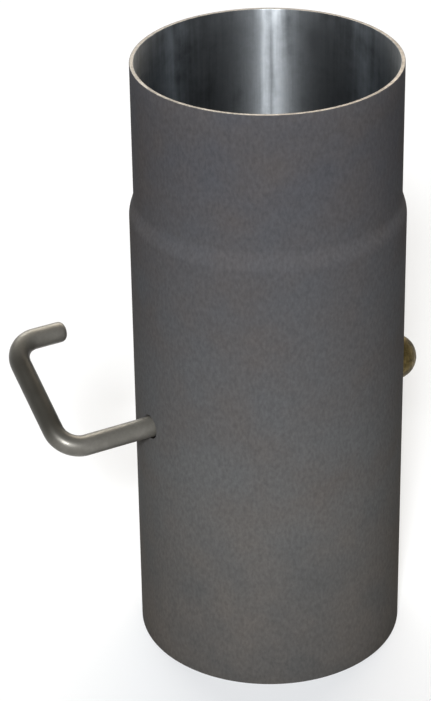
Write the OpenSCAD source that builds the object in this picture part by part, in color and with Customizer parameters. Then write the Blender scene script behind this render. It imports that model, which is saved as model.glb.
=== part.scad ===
// Stove pipe with a throttle damper.
// A rolled steel pipe with one end swaged down to a spigot, and a butterfly plate
// inside it that turns on a bent bar whose outer end is the handle.
// Origin: centre of the pipe's lower end. +Z runs up the pipe, and +X runs along
// the spindle from the handle to the domed cap.

/* [Pipe] */
// Inside diameter of the wide part
bore_d = 125; // [110:1:160]
// Thickness of the sheet
wall = 2; // [1:0.1:3]
// Overall length
pipe_l = 300; // [280:1:500]
// Straight length of the spigot at the top
spigot_l = 65; // [40:1:80]
// Length of the swaged shoulder under the spigot
swage_l = 11; // [6:0.5:20]
// Radial gap of the spigot in the bore of the next pipe
spigot_clear = 0.2; // [0.1:0.05:0.5]
// Chamfer left on the cut edges of the sheet
edge_chamfer = 0.3; // [0.1:0.05:0.4]

/* [Spindle and handle] */
// Height of the spindle above the lower end
spindle_h = 126.5; // [90:0.5:150]
// Diameter of the round bar
bar_d = 10; // [8.5:0.5:12]
// Radial gap of the bar in the hole on the handle side
handle_clear = 1; // [0.3:0.1:1.5]
// Distance from the pipe's outer face to the middle of the grip
grip_out = 45.5; // [35:0.5:70]
// Length of the grip between the middles of its two legs
grip_l = 62; // [45:1:90]
// Length of the returned leg, from the middle of the grip to its tip
return_l = 28; // [22:0.5:40]
// Bend radius at the middle of the bar
bend_r = 12; // [8:0.5:15]
// Rounding of the bar's free tip
tip_round = 3; // [1:0.5:4]
// Lean of the grip from upright, as the damper was left
rest_angle = 60; // [0:1:90]

/* [Journal] */
// Diameter of the turned end that runs in the far wall
journal_d = 8; // [6:0.5:8]
// Radial gap of the journal in its hole
journal_clear = 0.1; // [0.05:0.01:0.3]
// Chamfer on the end of the journal
journal_chamfer = 0.8; // [0.4:0.1:1]

/* [Damper plate] */
// Thickness of the plate
plate_t = 2; // [1.5:0.1:3]
// Gap between the plate's edge and the bore
plate_gap = 4; // [2:0.5:8]
// Radius of the scallop that keeps a passage open when the plate is shut
scallop_r = 18; // [10:1:22]

/* [Saddles and screws] */
// Thickness of the saddle strip
saddle_t = 2; // [1.5:0.1:2.5]
// Width of the saddle strip
saddle_w = 14; // [12:0.5:20]
// Distance of each saddle from the middle of the plate
saddle_x = 28; // [20:1:34]
// Inside radius of the saddle's small bends
saddle_bend = 1.5; // [0.5:0.1:2]
// Gap between a saddle's arch and the bar
saddle_clear = 0.05; // [0.02:0.01:0.2]
// Distance from a saddle's leg to the middle of its screw
screw_out = 6.5; // [6:0.5:8]
// Screw diameter
screw_d = 5; // [4:0.5:5]
// Radial gap of a screw in its hole
screw_clear = 0.25; // [0.1:0.05:0.4]
// Width of the hexagons across their flats
hex_af = 8; // [7:0.5:9]
// Height of the screw head
head_h = 3.5; // [2.5:0.1:4]
// Height of the nut
nut_h = 4; // [3:0.1:5]
// Length of thread standing out of the nut
thread_out = 1.5; // [0.5:0.1:3]
// Thickness of the split washers
split_t = 1.2; // [0.8:0.1:1.5]
// Width of the split in these washers
split_gap = 1; // [0.5:0.1:1.5]

/* [Spring and cap] */
// Thickness of the two plain washers
washer_t = 1.5; // [1:0.1:2]
// Gap left at each face that bears on another
seat_gap = 0.05; // [0.02:0.01:0.1]
// Diameter of the spring wire
wire_d = 1.4; // [1:0.1:1.5]
// Turns of the spring
spring_turns = 2.5; // [1.5:0.5:2.5]
// Length of the spring as fitted
spring_l = 6; // [5.5:0.5:9]
// Outside diameter of the domed cap
cap_d = 23; // [21:0.5:27]
// Wall of the cap round the spring
cap_wall = 1.8; // [1.2:0.1:2.5]
// Metal of the cap beyond the end of the journal
cap_end = 3; // [2:0.1:4]
// How far the hollow for the spring reaches into the dome
hollow_in_dome = 1.5; // [0.5:0.1:2.5]
// Gap between the cap's skirt and the washer under it
skirt_gap = 1; // [0.5:0.1:1.5]
// Radial gap of the spring in the cap
spring_play = 0.7; // [0.3:0.1:1.2]
// Radial gap between a screw thread and the thread it runs in
thread_clear = 0.05; // [0.02:0.01:0.1]

/* [Hidden] */
$fn = 96;

// Facets round the small parts
small_fn = 48;
// Cuts run this far past the faces that they open
past = 1;
// Steps of each arc in a turned outline
arc_steps = 8;
// Sides of the spring wire and rings along one turn of it
wire_sides = 8;
rings_per_turn = 24;

paint_grey = "#5c5a59";
bar_grey = "#65625f";
plain_steel = "#7c7e80";
zinc = "#9a9c9e";
old_brass = "#7a6a3a";

bore_r = bore_d / 2;
pipe_r = bore_r + wall;
spigot_r = bore_r - spigot_clear;
spigot_bore_r = spigot_r - wall;
spigot_z = pipe_l - spigot_l;
swage_z = spigot_z - swage_l;

bar_r = bar_d / 2;
journal_r = journal_d / 2;
grip_x = pipe_r + grip_out;
plate_r = bore_r - plate_gap;

// The washers are as wide as the spring, which runs inside the cap
cap_r = cap_d / 2;
cap_bore_r = cap_r - cap_wall;
washer_r = cap_bore_r - spring_play;
spring_r = washer_r - wire_d / 2;
// The flat inner washer bears with its rim on the hollow of the bore
inner_washer_x = sqrt(pow(bore_r, 2) - pow(washer_r, 2)) - seat_gap;
shoulder_x = inner_washer_x - washer_t - seat_gap;
outer_washer_x = pipe_r + seat_gap;
spring_x = outer_washer_x + washer_t + seat_gap;
cap_floor_x = spring_x + spring_l + seat_gap;
cap_x = spring_x + skirt_gap;
dome_x = cap_floor_x - hollow_in_dome;
journal_end_x = dome_x + cap_r - cap_end;

arch_r = bar_r + saddle_clear;
saddle_leg = arch_r + saddle_t;
screw_z = saddle_leg + screw_out;
foot_r = saddle_w / 2;
screw_r = screw_d / 2;
hole_r = screw_r + screw_clear;
hex_r = hex_af / 2 / cos(30);
// Faces of the screwed stack, along the plate's normal
head_y = bar_r + plate_t;
foot_y = bar_r - saddle_t;
nut_y = foot_y - split_t;
screw_tip_y = nut_y - nut_h - thread_out;

// Points on an arc about c, from angle a0 to angle a1
function arc(c, r, a0, a1) = [
    for (i = [0:arc_steps])
        let (a = a0 + (a1 - a0) * i / arc_steps)
            [c[0] + r * cos(a), c[1] + r * sin(a)]
];

// An S-shaped run of points from radius ra at height za to radius rb at height zb
function swage(ra, za, rb, zb) = [
    for (i = [0:arc_steps])
        let (t = i / arc_steps)
            [ra + (rb - ra) * (1 - cos(180 * t)) / 2, za + (zb - za) * t]
];

// Screw i of 4 stands at this side along the spindle and this side across it
function side_x(i) = i <= 2 ? -1 : 1;
function side_z(i) = i % 2 == 1 ? -1 : 1;

// Turns its children's Z axis to +X
module along_x(x = 0) {
    translate([x, 0, 0])
        rotate([0, 90, 0])
            children();
}

// Puts a shape of the damper's own frame, grip and plate upright, where it was left
module damper_place() {
    translate([0, 0, spindle_h])
        rotate([-rest_angle, 0, 0])
            children();
}

// The screw axis i, with +Z from the head towards the nut and its origin at face y
module at_screw(i, y) {
    damper_place()
        translate([side_x(i) * saddle_x, y, side_z(i) * screw_z])
            rotate([90, 0, 0])
                children();
}

module tube_section() {
    polygon(concat(
        [[bore_r + edge_chamfer, 0], [pipe_r - edge_chamfer, 0], [pipe_r, edge_chamfer]],
        swage(pipe_r, swage_z, spigot_r, spigot_z),
        [
            [spigot_r, pipe_l - edge_chamfer],
            [spigot_r - edge_chamfer, pipe_l],
            [spigot_bore_r + edge_chamfer, pipe_l],
            [spigot_bore_r, pipe_l - edge_chamfer]
        ],
        swage(spigot_bore_r, spigot_z, bore_r, swage_z),
        [[bore_r, edge_chamfer]]
    ));
}

module pipe() {
    color(paint_grey)
        difference() {
            rotate_extrude($fn = 180)
                tube_section();
            translate([0, 0, spindle_h]) {
                along_x(-pipe_r - past)
                    cylinder(h = wall + 2 * past + bar_d, r = bar_r + handle_clear);
                along_x(bore_r - past - journal_d)
                    cylinder(h = wall + 2 * past + journal_d, r = journal_r + journal_clear);
            }
        }
}

// A quarter bend of the bar round the origin, from +X to +Z
module quarter_bend() {
    rotate([90, 0, 0])
        rotate_extrude(angle = 90)
            translate([bend_r, 0])
                circle(r = bar_r, $fn = small_fn);
}

module rounded_bar(length) {
    rotate_extrude($fn = small_fn)
        polygon(concat(
            [[0, 0], [bar_r, 0]],
            arc([bar_r - tip_round, length - tip_round], tip_round, 0, 90),
            [[0, length]]
        ));
}

module journal() {
    rotate_extrude($fn = small_fn)
        polygon([
            [0, 0],
            [journal_r, 0],
            [journal_r, journal_end_x - shoulder_x - journal_chamfer],
            [journal_r - journal_chamfer, journal_end_x - shoulder_x],
            [0, journal_end_x - shoulder_x]
        ]);
}

module handle_spindle() {
    bend_x = -grip_x + bend_r;
    color(bar_grey)
        damper_place() {
            along_x(bend_x)
                cylinder(h = shoulder_x - bend_x, r = bar_r, $fn = small_fn);
            along_x(shoulder_x)
                journal();
            translate([bend_x, 0, bend_r])
                rotate([0, 180, 0])
                    quarter_bend();
            translate([-grip_x, 0, bend_r])
                cylinder(h = grip_l - 2 * bend_r, r = bar_r, $fn = small_fn);
            translate([bend_x, 0, grip_l - bend_r])
                rotate([0, -90, 0])
                    quarter_bend();
            translate([0, 0, grip_l])
                along_x(bend_x)
                    rounded_bar(return_l - bend_r);
        }
}

module damper_plate() {
    color(plain_steel)
        difference() {
            damper_place()
                translate([0, head_y, 0])
                    rotate([90, 0, 0])
                        difference() {
                            cylinder(h = plate_t, r = plate_r);
                            translate([0, -plate_r, -past])
                                cylinder(h = plate_t + 2 * past, r = scallop_r);
                        }
            for (i = [1:4])
                at_screw(i, head_y + past)
                    cylinder(h = plate_t + 2 * past, r = hole_r, $fn = small_fn);
        }
}

// One half of the bent strip, seen along the bar: y is towards the plate, z across it
module saddle_half() {
    round_out = saddle_bend + saddle_t;
    difference() {
        union() {
            intersection() {
                circle(r = saddle_leg, $fn = small_fn);
                translate([-saddle_leg, 0])
                    square([saddle_leg, saddle_leg]);
            }
            square([bar_r, saddle_leg]);
            translate([foot_y, saddle_leg])
                square([saddle_t, screw_out + foot_r]);
            translate([foot_y - saddle_bend, saddle_leg])
                square(saddle_bend);
        }
        circle(r = arch_r, $fn = small_fn);
        square([bar_r + past, arch_r]);
        translate([foot_y - saddle_bend, saddle_leg + saddle_bend])
            circle(r = saddle_bend, $fn = small_fn);
        difference() {
            translate([bar_r - round_out, arch_r - past])
                square([round_out + past, round_out + past]);
            translate([bar_r - round_out, arch_r + round_out])
                circle(r = round_out, $fn = small_fn);
        }
    }
}

// Plan form of the saddle: a strip with round ends
module saddle_plan() {
    translate([-foot_r, -screw_z])
        square([saddle_w, 2 * screw_z]);
    for (s = [-1, 1])
        translate([0, s * screw_z])
            circle(r = foot_r, $fn = small_fn);
}

module saddle(n) {
    color(zinc)
        difference() {
            damper_place()
                translate([side_x(2 * n) * saddle_x, 0, 0])
                    intersection() {
                        translate([-foot_r, 0, 0])
                            rotate([90, 0, 90])
                                linear_extrude(saddle_w) {
                                    saddle_half();
                                    mirror([0, 1])
                                        saddle_half();
                                }
                        translate([0, bar_r + past, 0])
                            rotate([90, 0, 0])
                                linear_extrude(bar_r + saddle_leg + 2 * past)
                                    saddle_plan();
                    }
            for (i = [2 * n - 1, 2 * n])
                at_screw(i, bar_r + past)
                    cylinder(h = saddle_t + 2 * past, r = hole_r, $fn = small_fn);
        }
}

// A hexagon with the corners of one end, or of both, turned off
module hexagon(height, both) {
    turned = hex_r - hex_af / 2;
    intersection() {
        cylinder(h = height, r = hex_r, $fn = 6);
        rotate_extrude($fn = small_fn)
            polygon([
                [0, 0],
                [both ? hex_af / 2 : hex_r, 0],
                [hex_r, both ? turned / 2 : 0],
                [hex_r, height - turned / 2],
                [hex_af / 2, height],
                [0, height]
            ]);
    }
}

module saddle_screw(i) {
    color(zinc)
        at_screw(i, head_y) {
            mirror([0, 0, 1])
                hexagon(head_h, false);
            cylinder(h = head_y - screw_tip_y, r = screw_r, $fn = small_fn);
        }
}

module split_washer(i) {
    color(zinc)
        at_screw(i, foot_y)
            difference() {
                cylinder(h = split_t, r = hex_af / 2, $fn = small_fn);
                translate([0, 0, -past])
                    cylinder(h = split_t + 2 * past, r = hole_r, $fn = small_fn);
                translate([0, -split_gap / 2, -past])
                    cube([hex_af, split_gap, split_t + 2 * past]);
            }
}

module saddle_nut(i) {
    color(zinc)
        at_screw(i, nut_y)
            difference() {
                hexagon(nut_h, true);
                translate([0, 0, -past])
                    cylinder(h = nut_h + 2 * past, r = screw_r + thread_clear, $fn = small_fn);
            }
}

module plain_washer(x) {
    color(zinc)
        damper_place()
            along_x(x)
                difference() {
                    cylinder(h = washer_t, r = washer_r, $fn = small_fn);
                    translate([0, 0, -past])
                        cylinder(h = washer_t + 2 * past, r = journal_r + screw_clear, $fn = small_fn);
                }
}

module inner_washer() {
    plain_washer(inner_washer_x - washer_t);
}

module outer_washer() {
    plain_washer(outer_washer_x);
}

// Corner k of ring j of the spring wire, swept round the Z axis
function wire_point(j, k) =
    let (
        turn = 360 * j / rings_per_turn,
        around = 360 * (k + 0.5) / wire_sides,
        rise = (spring_l - wire_d) * j / (spring_turns * rings_per_turn),
        r = spring_r + wire_d / 2 * cos(around)
    )
    [r * cos(turn), r * sin(turn), wire_d / 2 + rise + wire_d / 2 * sin(around)];

module friction_spring() {
    rings = spring_turns * rings_per_turn;
    color(zinc)
        damper_place()
            along_x(spring_x)
                polyhedron(
                    points = [for (j = [0:rings], k = [0:wire_sides - 1]) wire_point(j, k)],
                    faces = concat(
                        [[for (k = [0:wire_sides - 1]) k]],
                        [[for (k = [wire_sides - 1:-1:0]) rings * wire_sides + k]],
                        [for (j = [0:rings - 1], k = [0:wire_sides - 1])
                            let (a = j * wire_sides, b = a + wire_sides, m = (k + 1) % wire_sides)
                                [a + m, a + k, b + k, b + m]]
                    )
                );
}

module domed_cap() {
    thread_r = journal_r + thread_clear;
    color(old_brass)
        damper_place()
            along_x(cap_x)
                rotate_extrude()
                    polygon(concat(
                        [[cap_bore_r, 0], [cap_r, 0]],
                        arc([0, dome_x - cap_x], cap_r, 0, 90),
                        [
                            [0, journal_end_x + seat_gap - cap_x],
                            [thread_r, journal_end_x + seat_gap - cap_x],
                            [thread_r, cap_floor_x - cap_x],
                            [cap_bore_r, cap_floor_x - cap_x]
                        ]
                    ));
}

pipe();
handle_spindle();
damper_plate();
for (n = [1:2]) saddle(n);
for (i = [1:4]) saddle_screw(i);
for (i = [1:4]) split_washer(i);
for (i = [1:4]) saddle_nut(i);
inner_washer();
outer_washer();
friction_spring();
domed_cap();
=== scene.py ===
"""A stove pipe with a throttle damper, dressed around its fixed frame.

Sizes are in millimetres and are turned to metres where a mesh is made. +Z runs
up the pipe, and +X runs along the spindle from the handle to the domed cap.
"""

from __future__ import annotations

import logging
import math
from dataclasses import dataclass
from enum import Enum
from typing import Any, Callable, Iterable

import bmesh
import bpy
from mathutils import Matrix, Vector

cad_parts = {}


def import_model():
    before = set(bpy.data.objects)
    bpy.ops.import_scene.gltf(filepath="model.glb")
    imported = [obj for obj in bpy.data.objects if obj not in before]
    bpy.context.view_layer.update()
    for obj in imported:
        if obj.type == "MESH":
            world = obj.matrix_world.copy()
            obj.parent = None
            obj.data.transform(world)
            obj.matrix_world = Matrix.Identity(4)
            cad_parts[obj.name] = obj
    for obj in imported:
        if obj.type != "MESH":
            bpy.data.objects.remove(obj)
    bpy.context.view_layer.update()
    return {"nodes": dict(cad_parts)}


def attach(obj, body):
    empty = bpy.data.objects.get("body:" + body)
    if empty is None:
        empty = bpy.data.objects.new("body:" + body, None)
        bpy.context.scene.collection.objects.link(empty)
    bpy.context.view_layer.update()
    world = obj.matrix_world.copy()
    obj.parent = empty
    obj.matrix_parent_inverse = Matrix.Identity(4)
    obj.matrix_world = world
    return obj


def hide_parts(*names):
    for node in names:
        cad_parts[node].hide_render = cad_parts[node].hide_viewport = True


LOG = logging.getLogger("stove_pipe")
MM = 0.001

Point = tuple[float, float]


class Body(Enum):
    """The two bodies that pieces ride on."""

    PIPE = "pipe_body"
    DAMPER = "damper"


def linear(hex_colour: str) -> tuple[float, float, float, float]:
    """Turns an sRGB hex colour to linear light.

    Args:
        hex_colour: The colour, such as "#5f5f62".

    Returns:
        Red, green, blue and an alpha of 1.
    """
    values = [int(hex_colour[i : i + 2], 16) / 255 for i in (1, 3, 5)]
    red, green, blue = (
        v / 12.92 if v <= 0.04045 else ((v + 0.055) / 1.055) ** 2.4 for v in values
    )
    return red, green, blue, 1.0


def add_node(
    tree: bpy.types.NodeTree,
    kind: str,
    settings: dict[str | int, Any] | None = None,
    links: dict[str | int, bpy.types.NodeSocket] | None = None,
) -> bpy.types.Node:
    """Adds one node with its settings and links.

    Args:
        tree: The node tree that gets the node.
        kind: Blender's name for the kind of node.
        settings: Values of the node's own properties and of its input sockets.
        links: Input sockets, and the output socket that each one reads.

    Returns:
        The new node.
    """
    node = tree.nodes.new(kind)
    for name, value in (settings or {}).items():
        if isinstance(name, str) and hasattr(node, name):
            setattr(node, name, value)
        else:
            node.inputs[name].default_value = value
    for name, source in (links or {}).items():
        tree.links.new(source, node.inputs[name])
    return node


def new_material(name: str) -> tuple[bpy.types.Material, bpy.types.NodeTree]:
    """Makes an empty node material.

    Args:
        name: The name of the real finish.

    Returns:
        The material and its node tree.
    """
    material = bpy.data.materials.new(name)
    material.use_nodes = True
    material.node_tree.nodes.clear()
    return material, material.node_tree


@dataclass(frozen=True)
class HeatPaint:
    """Heat-resistant silicone paint, sprayed thin on steel and left matt.

    It scatters light almost evenly, and its coarse pigment shows as a fine grain.
    """

    name: str
    # Tones at the lower end, at mid height and at the top, which paint light and shade with height
    shaded_tones: tuple[str, str, str]
    roughness: float
    specular: float
    # A stain that the clouds let through
    tint: str = "#655c54"
    # The pigment is finer than this, and is drawn as coarse as it shows in the picture. The
    # rolling marks of the sheet under it draw it out upright
    grain_mm: tuple[float, float, float] = (1.4, 1.4, 2.4)
    mottle_mm: float = 26.0
    grain_depth: float = 0.13
    shading_heights_mm: tuple[float, float, float] = (0.0, 95.0, 260.0)

    def make(self) -> bpy.types.Material:
        """Builds the material and returns it."""
        material, tree = new_material(self.name)
        place = add_node(tree, "ShaderNodeTexCoord").outputs["Object"]
        height = add_node(tree, "ShaderNodeSeparateXYZ", links={0: place}).outputs["Z"]
        drawn = add_node(
            tree,
            "ShaderNodeMapping",
            {"Scale": tuple(1000 / size for size in self.grain_mm)},
            {"Vector": place},
        ).outputs[0]
        grain = add_node(
            tree,
            "ShaderNodeTexNoise",
            {"Scale": 1.0, "Detail": 2.0, "Roughness": 0.6},
            {"Vector": drawn},
        ).outputs["Fac"]
        mottle = add_node(
            tree,
            "ShaderNodeTexNoise",
            {"Scale": 1000 / self.mottle_mm, "Detail": 3.0, "Roughness": 0.5},
            {"Vector": place},
        ).outputs["Fac"]
        # Painted light and shade with height: the coat is lightest at mid height, darker towards both ends and
        # cooler at the top, and soft clouds shift the turn of tone
        drift = add_node(
            tree, "ShaderNodeMapRange", {"To Min": -0.05, "To Max": 0.05}, {"Value": mottle}
        ).outputs[0]
        level = add_node(tree, "ShaderNodeMath", {"operation": "ADD"}, {0: height, 1: drift}).outputs[0]
        coat = None
        # Mixes the painted light and shade by height
        for step in (0, 1):
            share = add_node(
                tree,
                "ShaderNodeMapRange",
                {
                    "From Min": self.shading_heights_mm[step] * MM,
                    "From Max": self.shading_heights_mm[step + 1] * MM,
                },
                {"Value": level},
            ).outputs[0]
            links = {0: share} if coat is None else {0: share, 6: coat}
            coat = add_node(
                tree,
                "ShaderNodeMix",
                {"data_type": "RGBA", 6: linear(self.shaded_tones[0]), 7: linear(self.shaded_tones[step + 1])},
                links,
            ).outputs[2]
        cloud = add_node(
            tree,
            "ShaderNodeMapRange",
            {"From Min": 0.35, "From Max": 0.75, "To Max": 0.35},
            {"Value": mottle},
        ).outputs[0]
        coat = add_node(
            tree, "ShaderNodeMix", {"data_type": "RGBA", 7: linear(self.tint)}, {0: cloud, 6: coat}
        ).outputs[2]
        shade = add_node(
            tree,
            "ShaderNodeMapRange",
            {"From Min": 0.3, "From Max": 0.7, "To Min": 1 - self.grain_depth, "To Max": 1 + self.grain_depth},
            {"Value": grain},
        ).outputs[0]
        coloured = add_node(
            tree,
            "ShaderNodeVectorMath",
            {"operation": "SCALE"},
            {0: coat, "Scale": shade},
        ).outputs[0]
        gloss = add_node(
            tree,
            "ShaderNodeMapRange",
            {"From Min": 0.3, "From Max": 0.7, "To Min": self.roughness - 0.06, "To Max": self.roughness + 0.06},
            {"Value": mottle},
        ).outputs[0]
        bump = add_node(
            tree,
            "ShaderNodeBump",
            {"Strength": 0.25, "Distance": 0.06 * MM},
            {"Height": grain},
        ).outputs[0]
        shader = add_node(
            tree,
            "ShaderNodeBsdfPrincipled",
            {"distribution": "GGX", "Specular IOR Level": self.specular},
            {"Base Color": coloured, "Roughness": gloss, "Normal": bump},
        )
        add_node(tree, "ShaderNodeOutputMaterial", links={"Surface": shader.outputs[0]})
        return material


@dataclass(frozen=True)
class BareSteel:
    """Steel without a coat, with the marks of the way it was made.

    The marks are drawn out along one axis, and where they run round a bore they
    spread a highlight into an upright streak.
    """

    name: str
    base: str
    dull: str
    roughness: float
    # Spacing of the marks along X, Y and Z
    marks_mm: tuple[float, float, float]
    blotch_mm: float = 14.0
    anisotropic: float = 0.0
    contrast: float = 0.5
    gloss_spread: float = 0.06
    bump_mm: float = 0.01

    def make(self) -> bpy.types.Material:
        """Builds the material and returns it."""
        material, tree = new_material(self.name)
        place = add_node(tree, "ShaderNodeTexCoord").outputs["Object"]
        drawn = add_node(
            tree,
            "ShaderNodeMapping",
            {"Scale": tuple(1000 / m for m in self.marks_mm)},
            {"Vector": place},
        ).outputs[0]
        marks = add_node(
            tree,
            "ShaderNodeTexNoise",
            {"Scale": 1.0, "Detail": 3.0, "Roughness": 0.6},
            {"Vector": drawn},
        ).outputs["Fac"]
        blotch = add_node(
            tree,
            "ShaderNodeTexNoise",
            {"Scale": 1000 / self.blotch_mm, "Detail": 4.0, "Roughness": 0.6},
            {"Vector": place},
        ).outputs["Fac"]
        both = add_node(
            tree,
            "ShaderNodeMath",
            {"operation": "ADD"},
            {0: marks, 1: blotch},
        ).outputs[0]
        worn = add_node(
            tree,
            "ShaderNodeMapRange",
            {"From Min": 1 - self.contrast / 2, "From Max": 1 + self.contrast / 2},
            {"Value": both},
        ).outputs[0]
        colour = add_node(
            tree,
            "ShaderNodeMix",
            {"data_type": "RGBA", 6: linear(self.dull), 7: linear(self.base)},
            {0: worn},
        ).outputs[2]
        gloss = add_node(
            tree,
            "ShaderNodeMapRange",
            {
                "To Min": self.roughness + self.gloss_spread,
                "To Max": self.roughness - self.gloss_spread,
            },
            {"Value": worn},
        ).outputs[0]
        bump = add_node(
            tree,
            "ShaderNodeBump",
            {"Strength": 0.4, "Distance": self.bump_mm * MM},
            {"Height": marks},
        ).outputs[0]
        settings: dict[str | int, Any] = {"Metallic": 1.0}
        links = {"Base Color": colour, "Roughness": gloss, "Normal": bump}
        if self.anisotropic:
            settings.update({"Anisotropic": self.anisotropic, "Anisotropic Rotation": 0.25})
            links["Tangent"] = add_node(
                tree, "ShaderNodeTangent", {"direction_type": "RADIAL", "axis": "Z"}
            ).outputs[0]
        shader = add_node(tree, "ShaderNodeBsdfPrincipled", settings, links)
        add_node(tree, "ShaderNodeOutputMaterial", links={"Surface": shader.outputs[0]})
        return material


@dataclass(frozen=True)
class BarPaint:
    """Satin grey paint with metal pigment, sprayed on drawn steel bar.

    The pigment makes the coat half shiny, the grip is darkened with painted shade, and the
    turned journal beyond the shoulder is bare and brighter.
    """

    name: str = "satin_grey_paint_on_drawn_steel_bar"
    coat: str = "#6d6b65"
    worn: str = "#7c7a74"
    # Colour of the painted shade on the grip
    grip: str = "#33312b"
    turned: str = "#a09d96"
    metallic: float = 0.45
    roughness: float = 0.38
    patch_mm: float = 7.0
    # Middle of the grip's painted shade, and how far the painted shade is full and reaches at all
    grip_middle_mm: tuple[float, float, float] = (-110.0, 26.8, 142.0)
    full_mm: float = 17.0
    reach_mm: float = 36.0
    shoulder_mm: float = 60.3

    def make(self) -> bpy.types.Material:
        """Builds the material and returns it."""
        material, tree = new_material(self.name)
        place = add_node(tree, "ShaderNodeTexCoord").outputs["Object"]
        patches = add_node(
            tree,
            "ShaderNodeTexNoise",
            {"Scale": 1000 / self.patch_mm, "Detail": 6.0, "Roughness": 0.65},
            {"Vector": place},
        ).outputs["Fac"]
        rub = add_node(
            tree, "ShaderNodeMapRange", {"From Min": 0.4, "From Max": 0.65}, {"Value": patches}
        ).outputs[0]
        bar = add_node(
            tree,
            "ShaderNodeMix",
            {"data_type": "RGBA", 6: linear(self.coat), 7: linear(self.worn)},
            {0: rub},
        ).outputs[2]
        # Painted shade on the grip, full near its middle and fading out further away
        away = add_node(
            tree,
            "ShaderNodeVectorMath",
            {"operation": "DISTANCE", 1: tuple(v * MM for v in self.grip_middle_mm)},
            {0: place},
        ).outputs["Value"]
        grip_painted_shade = add_node(
            tree,
            "ShaderNodeMapRange",
            {
                "interpolation_type": "SMOOTHSTEP",
                "From Min": self.full_mm * MM,
                "From Max": self.reach_mm * MM,
                "To Min": 0.9,
                "To Max": 0.0,
            },
            {"Value": away},
        ).outputs[0]
        bar_with_painted_shade = add_node(
            tree, "ShaderNodeMix", {"data_type": "RGBA", 7: linear(self.grip)}, {0: grip_painted_shade, 6: bar}
        ).outputs[2]
        along = add_node(tree, "ShaderNodeSeparateXYZ", links={0: place}).outputs["X"]
        journal = add_node(
            tree,
            "ShaderNodeMath",
            {"operation": "GREATER_THAN", 1: (self.shoulder_mm - 0.1) * MM},
            {0: along},
        ).outputs[0]
        colour = add_node(
            tree,
            "ShaderNodeMix",
            {"data_type": "RGBA", 7: linear(self.turned)},
            {0: journal, 6: bar_with_painted_shade},
        ).outputs[2]
        gloss = add_node(
            tree,
            "ShaderNodeMapRange",
            {"To Min": self.roughness + 0.07, "To Max": self.roughness - 0.05},
            {"Value": rub},
        ).outputs[0]
        bump = add_node(
            tree,
            "ShaderNodeBump",
            {"Strength": 0.3, "Distance": 0.03 * MM},
            {"Height": patches},
        ).outputs[0]
        shader = add_node(
            tree,
            "ShaderNodeBsdfPrincipled",
            {"Metallic": self.metallic},
            {"Base Color": colour, "Roughness": gloss, "Normal": bump},
        )
        add_node(tree, "ShaderNodeOutputMaterial", links={"Surface": shader.outputs[0]})
        return material


@dataclass(frozen=True)
class OldBrass:
    """Turned brass that has tarnished: a dull gold with brown stains.

    The turning marks run round the dome, and the stains are rougher than the metal.
    """

    name: str = "tarnished_turned_brass"
    clean: str = "#675a38"
    stain: str = "#2a2412"
    roughness: float = 0.42
    stain_mm: float = 5.0

    def make(self) -> bpy.types.Material:
        """Builds the material and returns it."""
        material, tree = new_material(self.name)
        place = add_node(tree, "ShaderNodeTexCoord").outputs["Object"]
        clouds = add_node(
            tree,
            "ShaderNodeTexNoise",
            {"Scale": 1000 / self.stain_mm, "Detail": 5.0, "Roughness": 0.65},
            {"Vector": place},
        ).outputs["Fac"]
        # Turning marks half a millimetre apart along the spindle
        rings = add_node(
            tree,
            "ShaderNodeTexWave",
            {"bands_direction": "X", "Scale": 1000 / 0.5 / 6.28, "Distortion": 1.5, "Detail": 1.0},
            {"Vector": place},
        ).outputs["Fac"]
        stained = add_node(
            tree,
            "ShaderNodeMapRange",
            {"From Min": 0.38, "From Max": 0.66},
            {"Value": clouds},
        ).outputs[0]
        colour = add_node(
            tree,
            "ShaderNodeMix",
            {"data_type": "RGBA", 6: linear(self.clean), 7: linear(self.stain)},
            {0: stained},
        ).outputs[2]
        gloss = add_node(
            tree,
            "ShaderNodeMapRange",
            {"To Min": self.roughness, "To Max": self.roughness + 0.2},
            {"Value": stained},
        ).outputs[0]
        bump = add_node(
            tree,
            "ShaderNodeBump",
            {"Strength": 0.2, "Distance": 0.02 * MM},
            {"Height": rings},
        ).outputs[0]
        shader = add_node(
            tree,
            "ShaderNodeBsdfPrincipled",
            {"Metallic": 1.0},
            {"Base Color": colour, "Roughness": gloss, "Normal": bump},
        )
        add_node(tree, "ShaderNodeOutputMaterial", links={"Surface": shader.outputs[0]})
        return material


class Finishes:
    """Every finish of the object, each made once."""

    def __init__(self) -> None:
        """Makes the materials."""
        self.pipe_paint = HeatPaint(
            "heat_resistant_silicone_paint_matt_grey", ("#535353", "#606162", "#54555a"), 0.82, 0.03
        ).make()
        self.bar_paint = BarPaint().make()
        self.bore_steel = BareSteel(
            "cold_rolled_steel_bare_bore", "#9ba0a5", "#5c6063", 0.47, (5.0, 5.0, 80.0),
            anisotropic=0.9, contrast=0.7, gloss_spread=0.13,
        ).make()
        self.cut_edge = BareSteel(
            "sheared_steel_edge", "#878480", "#66635f", 0.42, (3.0, 3.0, 0.6)
        ).make()
        self.plate_steel = BareSteel(
            "cold_rolled_steel_plate", "#85898d", "#5d6063", 0.42, (30.0, 2.0, 2.0),
            blotch_mm=25.0,
        ).make()
        self.zinc = BareSteel(
            "bright_zinc_plate_on_steel", "#b9bcc0", "#93979a", 0.32, (4.0, 4.0, 4.0),
            blotch_mm=5.0,
        ).make()
        self.wire = BareSteel(
            "drawn_spring_wire_oiled", "#77787b", "#4c4d50", 0.34, (1.0, 6.0, 6.0),
            blotch_mm=4.0,
        ).make()
        self.brass = OldBrass().make()


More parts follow.
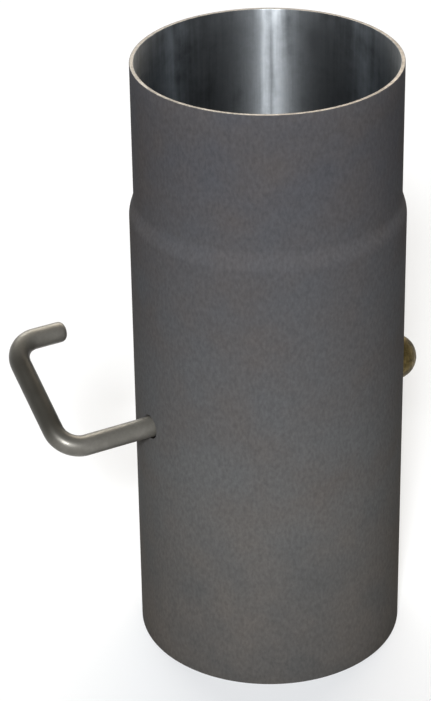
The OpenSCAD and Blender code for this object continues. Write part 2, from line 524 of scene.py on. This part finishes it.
def select_verts(keep: Callable[[Vector], bool]) -> int:
    """Selects the vertices of the mesh in edit mode that lie where keep says.

    Args:
        keep: A test of a vertex's place, in metres.

    Returns:
        How many vertices are selected.
    """
    mesh = bpy.context.edit_object.data
    shape = bmesh.from_edit_mesh(mesh)
    bpy.ops.mesh.select_mode(type="VERT")
    bpy.ops.mesh.select_all(action="DESELECT")
    found = [v for v in shape.verts if keep(v.co)]
    for vert in found:
        vert.select = True
    shape.select_flush(True)
    bmesh.update_edit_mesh(mesh)
    return len(found)


def begin() -> None:
    """Leaves edit mode and deselects everything, so that an operator meets its own piece only."""
    if bpy.context.object and bpy.context.object.mode != "OBJECT":
        bpy.ops.object.mode_set(mode="OBJECT")
    bpy.ops.object.select_all(action="DESELECT")


def only(piece: bpy.types.Object) -> None:
    """Makes one piece the active and the only selected object."""
    begin()
    piece.select_set(True)
    bpy.context.view_layer.objects.active = piece


def apply_modifiers(piece: bpy.types.Object) -> None:
    """Applies every modifier of a piece in order."""
    only(piece)
    for modifier in list(piece.modifiers):
        bpy.ops.object.modifier_apply(modifier=modifier.name)


def carve(piece: bpy.types.Object, tool: bpy.types.Object, operation: str) -> None:
    """Cuts a piece with another mesh, which is then removed.

    Args:
        piece: The piece to cut.
        tool: The mesh that cuts it.
        operation: Blender's name for the Boolean, such as "DIFFERENCE".
    """
    cut = piece.modifiers.new("cut", "BOOLEAN")
    cut.operation = operation
    cut.solver = "EXACT"
    cut.object = tool
    apply_modifiers(piece)
    bpy.data.objects.remove(tool)


def seat(piece: bpy.types.Object, place: Matrix) -> None:
    """Puts a piece where it belongs and moves that place into its mesh.

    Args:
        piece: A piece that was modelled about the origin.
        place: Its place in the row's frame.
    """
    piece.matrix_world = place
    only(piece)
    bpy.ops.object.transform_apply(location=True, rotation=True, scale=True)


def finish_piece(piece: bpy.types.Object, body: Body, materials: Iterable[bpy.types.Material]) -> None:
    """Shades a piece, gives it its materials and lets it ride on its body.

    Args:
        piece: The finished mesh.
        body: The body that it moves with.
        materials: Its materials, in slot order.
    """
    only(piece)
    bpy.ops.object.shade_smooth_by_angle(angle=math.radians(32))
    piece.data.materials.clear()
    for material in materials:
        piece.data.materials.append(material)
    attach(piece, body.value)
    LOG.info("%s: %d faces, on %s", piece.name, len(piece.data.polygons), body.value)


@dataclass
class PipeShell:
    """The rolled, welded and swaged pipe."""

    bore_r: float = 62.5
    wall: float = 2.0
    length: float = 300.0
    spigot_r: float = 62.3
    spigot_z: float = 235.0
    swage_z: float = 224.0
    edge_r: float = 0.45
    facets: int = 288
    ring_step: float = 9.0
    spindle_z: float = 126.5
    handle_hole_r: float = 6.0
    journal_hole_r: float = 4.1
    # The seam lies on the far side from the camera
    seam_deg: float = 60.0
    seam_rise: float = 0.22

    def side_line(self, wide_r: float, narrow_r: float) -> list[Point]:
        """Traces one face of the wall from the bottom up, without its rounded ends.

        Args:
            wide_r: Radius below the swage.
            narrow_r: Radius of the spigot.

        Returns:
            Radius and height of each ring.
        """
        line: list[Point] = []
        low, high = self.edge_r, self.swage_z
        steps = round((high - low) / self.ring_step)
        line += [(wide_r, low + (high - low) * i / steps) for i in range(steps)]
        for i in range(13):
            share = i / 12
            radius = wide_r + (narrow_r - wide_r) * (1 - math.cos(math.pi * share)) / 2
            line.append((radius, high + (self.spigot_z - high) * share))
        low, high = self.spigot_z, self.length - self.edge_r
        steps = round((high - low) / self.ring_step)
        line += [(narrow_r, low + (high - low) * i / steps) for i in range(1, steps + 1)]
        return line

    def rounded(self, radius: float, height: float, start_deg: float) -> list[Point]:
        """Traces the rounding of one corner of the sheet's cut edge.

        Args:
            radius: Radius of the rounding's middle.
            height: Height of the rounding's middle.
            start_deg: Direction in which the rounding starts.

        Returns:
            The two points inside a quarter turn, and its last one.
        """
        angles = [math.radians(start_deg + 90 * i / 3) for i in range(1, 4)]
        return [(radius + self.edge_r * math.cos(a), height + self.edge_r * math.sin(a)) for a in angles]

    def outline(self) -> list[Point]:
        """Traces the whole section: up the outside, over the rim, down the bore and back."""
        edge, wide, narrow = self.edge_r, self.bore_r + self.wall, self.spigot_r
        outer = self.side_line(wide, narrow)
        inner = self.side_line(self.bore_r, narrow - self.wall)[::-1]
        points = outer + self.rounded(narrow - edge, self.length - edge, 0)
        points += self.rounded(narrow - self.wall + edge, self.length - edge, 90)[:-1]
        points += inner
        points += self.rounded(self.bore_r + edge, edge, 180)
        points += self.rounded(wide - edge, edge, 270)
        return points

    def sweep(self) -> bpy.types.Object:
        """Draws the section out from one circle, ring by ring, and closes it."""
        points = self.outline()
        radius, height = points[0]
        begin()
        bpy.ops.mesh.primitive_circle_add(
            vertices=self.facets, radius=radius * MM, location=(0, 0, height * MM)
        )
        piece = bpy.context.object
        piece.name = piece.data.name = "pipe_shell"
        bpy.ops.object.transform_apply(location=True)
        bpy.ops.object.mode_set(mode="EDIT")
        bpy.ops.mesh.select_all(action="SELECT")
        for next_radius, next_height in points[1:]:
            scale = next_radius / radius
            bpy.ops.mesh.extrude_edges_move(
                TRANSFORM_OT_translate={"value": (0, 0, (next_height - height) * MM)}
            )
            bpy.ops.transform.resize(
                value=(scale, scale, 1), center_override=(0, 0, next_height * MM)
            )
            radius, height = next_radius, next_height
        bpy.ops.mesh.select_all(action="SELECT")
        bpy.ops.mesh.remove_doubles(threshold=0.02 * MM)
        bpy.ops.mesh.normals_make_consistent(inside=False)
        return piece

    def raise_seam(self) -> None:
        """Lifts the weld seam out of the sheet where no other pipe slides over or into it."""
        seam = math.radians(self.seam_deg)
        out = Vector((math.cos(seam), math.sin(seam), 0))
        middle = self.bore_r + self.wall / 2
        for inside in (False, True):
            low, high = (self.spigot_z - 160, self.length - 2) if inside else (2, self.swage_z - 2)
            for half_width, share in ((1.7, 0.45), (0.6, 0.55)):

                def on_seam(co: Vector) -> bool:
                    across = abs(co.x * out.y - co.y * out.x)
                    narrow = middle - (2.2 if co.z > self.swage_z * MM else 0)
                    return (
                        co.dot(out) > 0
                        and across < half_width * MM
                        and low * MM < co.z < high * MM
                        and (co.to_2d().length < narrow * MM) == inside
                    )

                select_verts(on_seam)
                move = self.seam_rise * share * (-1 if inside else 1)
                bpy.ops.transform.translate(value=out * move * MM)

    def punch(self, piece: bpy.types.Object) -> None:
        """Cuts the spindle's two holes."""
        middle = self.bore_r + self.wall / 2
        for side, radius in ((-1, self.handle_hole_r), (1, self.journal_hole_r)):
            begin()
            bpy.ops.mesh.primitive_cylinder_add(
                vertices=72,
                radius=radius * MM,
                depth=16 * MM,
                location=(side * middle * MM, 0, self.spindle_z * MM),
                rotation=(0, math.pi / 2, 0),
            )
            carve(piece, bpy.context.object, "DIFFERENCE")

    def build(self, finishes: Finishes) -> None:
        """Makes the shell and dresses its coat, bore and cut edges."""
        piece = self.sweep()
        self.raise_seam()
        self.punch(piece)
        finish_piece(
            piece, Body.PIPE, (finishes.pipe_paint, finishes.bore_steel, finishes.cut_edge)
        )
        for face in piece.data.polygons:
            away = Vector((face.center.x, face.center.y, 0)).normalized()
            lean = face.normal.dot(away)
            face.material_index = 0 if lean > 0.4 else 1 if lean < -0.4 else 2
        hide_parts("pipe")


@dataclass
class Damper:
    """The plate, its saddles and fixings, the bar, the spring and the cap."""

    spindle_z: float = 126.5
    lean_deg: float = 60.0
    saddle_x: float = 28.0
    screw_z: float = 13.55
    head_y: float = 7.0
    shank_l: float = 10.7
    shank_r: float = 2.5
    root_r: float = 2.03
    pitch: float = 0.8
    hex_flats: float = 8.0
    head_h: float = 3.5
    wire_r: float = 0.7
    coil_r: float = 8.3
    coil_x: float = 66.1
    coil_l: float = 6.0
    coil_turns: float = 2.5

    def place(self) -> Matrix:
        """Gives the place of the damper's own frame, grip and plate upright in it."""
        return Matrix.Translation((0, 0, self.spindle_z * MM)) @ Matrix.Rotation(
            -math.radians(self.lean_deg), 4, "X"
        )

    def thread(self) -> bpy.types.Object:
        """Winds the shank's thread up the Z axis and cuts it to length."""
        begin()
        crest, flank, flat = self.shank_r - self.root_r, self.pitch * 0.34, self.pitch * 0.16
        bpy.ops.mesh.primitive_plane_add(
            size=0.01 * MM, location=(self.root_r * MM, 0, -3 * self.pitch * MM)
        )
        piece = bpy.context.object
        bpy.ops.object.transform_apply(location=True)
        bpy.ops.object.mode_set(mode="EDIT")
        bpy.ops.mesh.select_all(action="SELECT")
        bpy.ops.mesh.merge(type="CENTER")
        for across, along in ((crest, flank), (0, flat), (-crest, flank), (0, flat)):
            bpy.ops.mesh.extrude_vertices_move(
                TRANSFORM_OT_translate={"value": (across * MM, 0, along * MM)}
            )
        bpy.ops.object.mode_set(mode="OBJECT")
        wind = piece.modifiers.new("wind", "SCREW")
        wind.screw_offset = self.pitch * MM
        wind.iterations = round(self.shank_l / self.pitch) + 5
        wind.steps = wind.render_steps = 32
        wind.use_merge_vertices = True
        wind.merge_threshold = 0.005 * MM
        apply_modifiers(piece)
        bpy.ops.object.mode_set(mode="EDIT")
        for height, up in ((self.shank_l + 0.6 * self.pitch, 1), (-1.3 * self.pitch, -1)):
            bpy.ops.mesh.select_all(action="SELECT")
            bpy.ops.mesh.bisect(
                plane_co=(0, 0, height * MM), plane_no=(0, 0, up), use_fill=True, clear_outer=True
            )
        bpy.ops.mesh.select_all(action="SELECT")
        bpy.ops.mesh.remove_doubles(threshold=0.001 * MM)
        bpy.ops.mesh.normals_make_consistent(inside=False)
        bpy.ops.object.mode_set(mode="OBJECT")
        carve(piece, self.blank(), "INTERSECT")
        return piece

    def blank(self) -> bpy.types.Object:
        """Makes the turned blank that bounds the thread, rooted in the head and chamfered."""
        chamfer = self.shank_r - self.root_r + 0.15
        body = self.shank_l - chamfer
        rooted = 0.5
        begin()
        bpy.ops.mesh.primitive_cylinder_add(
            vertices=64,
            radius=(self.shank_r + 0.02) * MM,
            depth=(body + rooted) * MM,
            location=(0, 0, (body - rooted) / 2 * MM),
        )
        piece = bpy.context.object
        bpy.ops.object.transform_apply(location=True)
        bpy.ops.object.mode_set(mode="EDIT")
        select_verts(lambda co: co.z > (body - 0.01) * MM)
        bpy.ops.mesh.extrude_region_move(TRANSFORM_OT_translate={"value": (0, 0, chamfer * MM)})
        scale = (self.root_r - 0.15) / (self.shank_r + 0.02)
        bpy.ops.transform.resize(value=(scale, scale, 1))
        bpy.ops.object.mode_set(mode="OBJECT")
        return piece

    def hexagon(self) -> bpy.types.Object:
        """Makes the head under the shank, with the corners of its free face turned off."""
        corner = self.hex_flats / 2 / math.cos(math.radians(30))
        turned = (corner - self.hex_flats / 2) / 2
        begin()
        bpy.ops.mesh.primitive_cylinder_add(
            vertices=6,
            radius=corner * MM,
            depth=self.head_h * MM,
            location=(0, 0, -self.head_h / 2 * MM),
            rotation=(0, 0, math.radians(30)),
        )
        piece = bpy.context.object
        bpy.ops.object.transform_apply(location=True, rotation=True)
        body = self.head_h - turned
        begin()
        bpy.ops.mesh.primitive_cylinder_add(
            vertices=72, radius=(corner + 0.1) * MM, depth=body * MM, location=(0, 0, -body / 2 * MM)
        )
        tool = bpy.context.object
        bpy.ops.object.transform_apply(location=True)
        bpy.ops.object.mode_set(mode="EDIT")
        select_verts(lambda co: co.z < -(body - 0.01) * MM)
        bpy.ops.mesh.extrude_region_move(
            TRANSFORM_OT_translate={"value": (0, 0, -turned * MM)}
        )
        scale = self.hex_flats / 2 / (corner + 0.1)
        bpy.ops.transform.resize(value=(scale, scale, 1))
        bpy.ops.object.mode_set(mode="OBJECT")
        carve(piece, tool, "INTERSECT")
        return piece

    def build_screws(self, finishes: Finishes) -> None:
        """Makes one threaded screw and copies it to the four corners of the saddles."""
        head = self.hexagon()
        carve(head, self.thread(), "UNION")
        for number in range(1, 5):
            side_x = -1 if number <= 2 else 1
            side_z = -1 if number % 2 else 1
            only(head)
            bpy.ops.object.duplicate(linked=False)
            screw = bpy.context.object
            screw.name = screw.data.name = f"threaded_screw_{number}"
            spot = Vector((side_x * self.saddle_x, self.head_y, side_z * self.screw_z)) * MM
            seat(
                screw,
                self.place() @ Matrix.Translation(spot) @ Matrix.Rotation(math.pi / 2, 4, "X"),
            )
            finish_piece(screw, Body.DAMPER, (finishes.zinc,))
            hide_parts(f"saddle_screw_{number}")
        bpy.data.objects.remove(head)

    def build_spring(self, finishes: Finishes) -> None:
        """Winds the round wire of the friction spring."""
        begin()
        bpy.ops.mesh.primitive_circle_add(
            vertices=20,
            radius=self.wire_r * MM,
            location=(self.coil_r * MM, 0, self.wire_r * MM),
            rotation=(math.pi / 2, 0, 0),
        )
        piece = bpy.context.object
        piece.name = piece.data.name = "round_wire_spring"
        bpy.ops.object.transform_apply(location=True, rotation=True)
        wind = piece.modifiers.new("wind", "SCREW")
        wind.angle = math.radians(360 * self.coil_turns)
        wind.screw_offset = (self.coil_l - 2 * self.wire_r) * MM
        wind.steps = wind.render_steps = round(72 * self.coil_turns)
        apply_modifiers(piece)
        bpy.ops.object.mode_set(mode="EDIT")
        bpy.ops.mesh.select_all(action="SELECT")
        bpy.ops.mesh.fill_holes(sides=0)
        bpy.ops.mesh.select_all(action="SELECT")
        bpy.ops.mesh.normals_make_consistent(inside=False)
        bpy.ops.object.mode_set(mode="OBJECT")
        along = Matrix.Translation((self.coil_x * MM, 0, 0)) @ Matrix.Rotation(math.pi / 2, 4, "Y")
        seat(piece, self.place() @ along)
        finish_piece(piece, Body.DAMPER, (finishes.wire,))
        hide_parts("friction_spring")

    def dress_nodes(self, nodes: dict[str, bpy.types.Object], finishes: Finishes) -> None:
        """Gives the pieces whose shape stays their finish.

        Args:
            nodes: The frame's own pieces by name.
            finishes: The finishes to take from.
        """
        coats = {
            "handle_spindle": finishes.bar_paint,
            "damper_plate": finishes.plate_steel,
            "domed_cap": finishes.brass,
        }
        for name, node in nodes.items():
            if node.hide_render:
                continue
            node.data.materials.clear()
            node.data.materials.append(coats.get(name, finishes.zinc))
            LOG.info("%s: dressed with %s", name, node.data.materials[0].name)

    def build(self, nodes: dict[str, bpy.types.Object], finishes: Finishes) -> None:
        """Makes the new pieces and dresses the ones that stay."""
        self.build_screws(finishes)
        self.build_spring(finishes)
        self.dress_nodes(nodes, finishes)


@dataclass
class Studio:
    """The camera, a pale floor and soft light."""

    image_height_px: int = 701
    focal_px: float = 2596.5
    sensor_mm: float = 36.0
    azimuth_deg: float = -29.5
    distance_mm: float = 1084.3
    height_mm: float = 756.9
    pitch_deg: float = 29.241
    yaw_deg: float = -1.341
    roll_deg: float = 0.929
    floor_mm: float = 24000.0
    floor_colour: str = "#bfc2c6"
    # What diffuse rays meet: a warm sheet under the object, and a dark room floor past it
    sheet_bounce: str = "#8c8272"
    room_bounce: str = "#343332"
    sheet_mm: float = 260.0
    floor_glow: float = 0.38
    ambient: float = 0.08
    # The backdrop is pale at the horizon and dim overhead
    horizon: float = 0.8
    zenith: float = 0.12

    def add_camera(self) -> None:
        """Stands the camera where the photograph was taken from."""
        yaw, pitch, roll = (math.radians(a) for a in (self.yaw_deg, self.pitch_deg, self.roll_deg))
        forward = Vector(
            (math.sin(yaw) * math.cos(pitch), math.cos(yaw) * math.cos(pitch), -math.sin(pitch))
        )
        right = Vector((math.cos(yaw), -math.sin(yaw), 0))
        up = right.cross(forward)
        axes = Matrix(
            (
                right * math.cos(roll) - up * math.sin(roll),
                right * math.sin(roll) + up * math.cos(roll),
                -forward,
            )
        ).transposed()
        begin()
        bpy.ops.object.camera_add()
        camera = bpy.context.object
        camera.name = "camera"
        camera.data.sensor_width = self.sensor_mm
        camera.data.lens = self.focal_px / self.image_height_px * self.sensor_mm
        camera.data.clip_start, camera.data.clip_end = 0.05, 60
        turn = Matrix.Rotation(math.radians(self.azimuth_deg), 4, "Z")
        spot = Matrix.Translation((0, -self.distance_mm * MM, self.height_mm * MM))
        camera.matrix_world = turn @ spot @ axes.to_4x4()
        bpy.context.scene.camera = camera

    def add_sun(
        self,
        name: str,
        azimuth_deg: float,
        elevation_deg: float,
        strength: float,
        spread_deg: float,
        colour: str = "#ffffff",
    ) -> None:
        """Hangs one far, wide lamp.

        Args:
            name: The lamp's name.
            azimuth_deg: Where it stands, counted as the camera's azimuth is.
            elevation_deg: Its height above the horizon.
            strength: Its irradiance.
            spread_deg: How wide it looks from the object, which softens the shadows.
            colour: The colour of its light.
        """
        azimuth, elevation = math.radians(azimuth_deg), math.radians(elevation_deg)
        back = Vector(
            (
                math.sin(azimuth) * math.cos(elevation),
                -math.cos(azimuth) * math.cos(elevation),
                math.sin(elevation),
            )
        )
        begin()
        bpy.ops.object.light_add(type="SUN", location=back * 3)
        lamp = bpy.context.object
        lamp.name = name
        lamp.rotation_euler = (-back).to_track_quat("-Z", "Y").to_euler()
        lamp.data.energy = strength
        lamp.data.color = linear(colour)[:3]
        lamp.data.angle = math.radians(spread_deg)

    def seen(self, tree: bpy.types.NodeTree) -> bpy.types.NodeSocket:
        """Adds the test for rays that see the background, also in gloss and through glass."""
        path = add_node(tree, "ShaderNodeLightPath")
        either = add_node(
            tree,
            "ShaderNodeMath",
            {"operation": "MAXIMUM"},
            {0: path.outputs["Is Camera Ray"], 1: path.outputs["Is Glossy Ray"]},
        )
        return add_node(
            tree,
            "ShaderNodeMath",
            {"operation": "MAXIMUM"},
            {0: either.outputs[0], 1: path.outputs["Is Transmission Ray"]},
        ).outputs[0]

    def add_floor(self) -> None:
        """Lays the pale floor, which keeps the object's shadow."""
        begin()
        bpy.ops.mesh.primitive_plane_add(size=self.floor_mm * MM)
        floor = bpy.context.object
        floor.name = "studio_floor"
        material, tree = new_material("matt_paper_floor")
        seen = self.seen(tree)
        place = add_node(tree, "ShaderNodeTexCoord").outputs["Object"]
        reach = add_node(
            tree, "ShaderNodeVectorMath", {"operation": "LENGTH"}, {0: place}
        ).outputs["Value"]
        past = add_node(
            tree,
            "ShaderNodeMapRange",
            {"From Min": self.sheet_mm * 0.6 * MM, "From Max": self.sheet_mm * 1.4 * MM},
            {"Value": reach},
        ).outputs[0]
        bounce = add_node(
            tree,
            "ShaderNodeMix",
            {"data_type": "RGBA", 6: linear(self.sheet_bounce), 7: linear(self.room_bounce)},
            {0: past},
        ).outputs[2]
        colour = add_node(
            tree,
            "ShaderNodeMix",
            {"data_type": "RGBA", 7: linear(self.floor_colour)},
            {0: seen, 6: bounce},
        )
        paper = add_node(tree, "ShaderNodeBsdfDiffuse", links={"Color": colour.outputs[2]})
        glow = add_node(
            tree, "ShaderNodeMath", {"operation": "MULTIPLY", 1: self.floor_glow}, {0: seen}
        )
        light = add_node(tree, "ShaderNodeEmission", links={"Strength": glow.outputs[0]})
        both = add_node(
            tree, "ShaderNodeAddShader", links={0: paper.outputs[0], 1: light.outputs[0]}
        )
        add_node(tree, "ShaderNodeOutputMaterial", links={"Surface": both.outputs[0]})
        floor.data.materials.append(material)

    def add_world(self) -> None:
        """Fills the room with a dim, even light in front of a pale backdrop."""
        world = bpy.data.worlds.new("studio_room")
        world.use_nodes = True
        tree = world.node_tree
        tree.nodes.clear()
        direction = add_node(tree, "ShaderNodeTexCoord").outputs["Object"]
        height = add_node(tree, "ShaderNodeSeparateXYZ", links={0: direction}).outputs["Z"]
        backdrop = add_node(
            tree,
            "ShaderNodeMapRange",
            {"From Min": 0.25, "From Max": 0.85, "To Min": self.horizon, "To Max": self.zenith},
            {"Value": height},
        )
        level = add_node(
            tree,
            "ShaderNodeMix",
            {"data_type": "FLOAT", 2: self.ambient},
            {0: self.seen(tree), 3: backdrop.outputs[0]},
        )
        light = add_node(tree, "ShaderNodeBackground", links={"Strength": level.outputs[0]})
        add_node(tree, "ShaderNodeOutputWorld", links={"Surface": light.outputs[0]})
        bpy.context.scene.world = world

    def build(self) -> None:
        """Sets the whole studio up."""
        self.add_camera()
        self.add_floor()
        self.add_world()
        self.add_sun("key_lamp", self.azimuth_deg - 5, 34, 3.1, 8)
        self.add_sun("key_glow", self.azimuth_deg - 5, 34, 0.6, 60)
        self.add_sun("back_lamp_left", self.azimuth_deg - 160, 38, 1.5, 35, "#fffaf0")
        self.add_sun("back_lamp_right", self.azimuth_deg + 160, 38, 1.5, 35, "#fff0dc")
        bpy.context.scene.view_settings.view_transform = "Standard"


def main() -> None:
    """Builds the scene around the frame, piece by piece."""
    logging.basicConfig(level=logging.INFO, format="%(name)s: %(message)s")
    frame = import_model()
    Studio().build()
    finishes = Finishes()
    PipeShell().build(finishes)
    Damper().build(frame["nodes"], finishes)
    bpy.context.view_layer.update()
    begin()


if __name__ == "__main__":
    main()
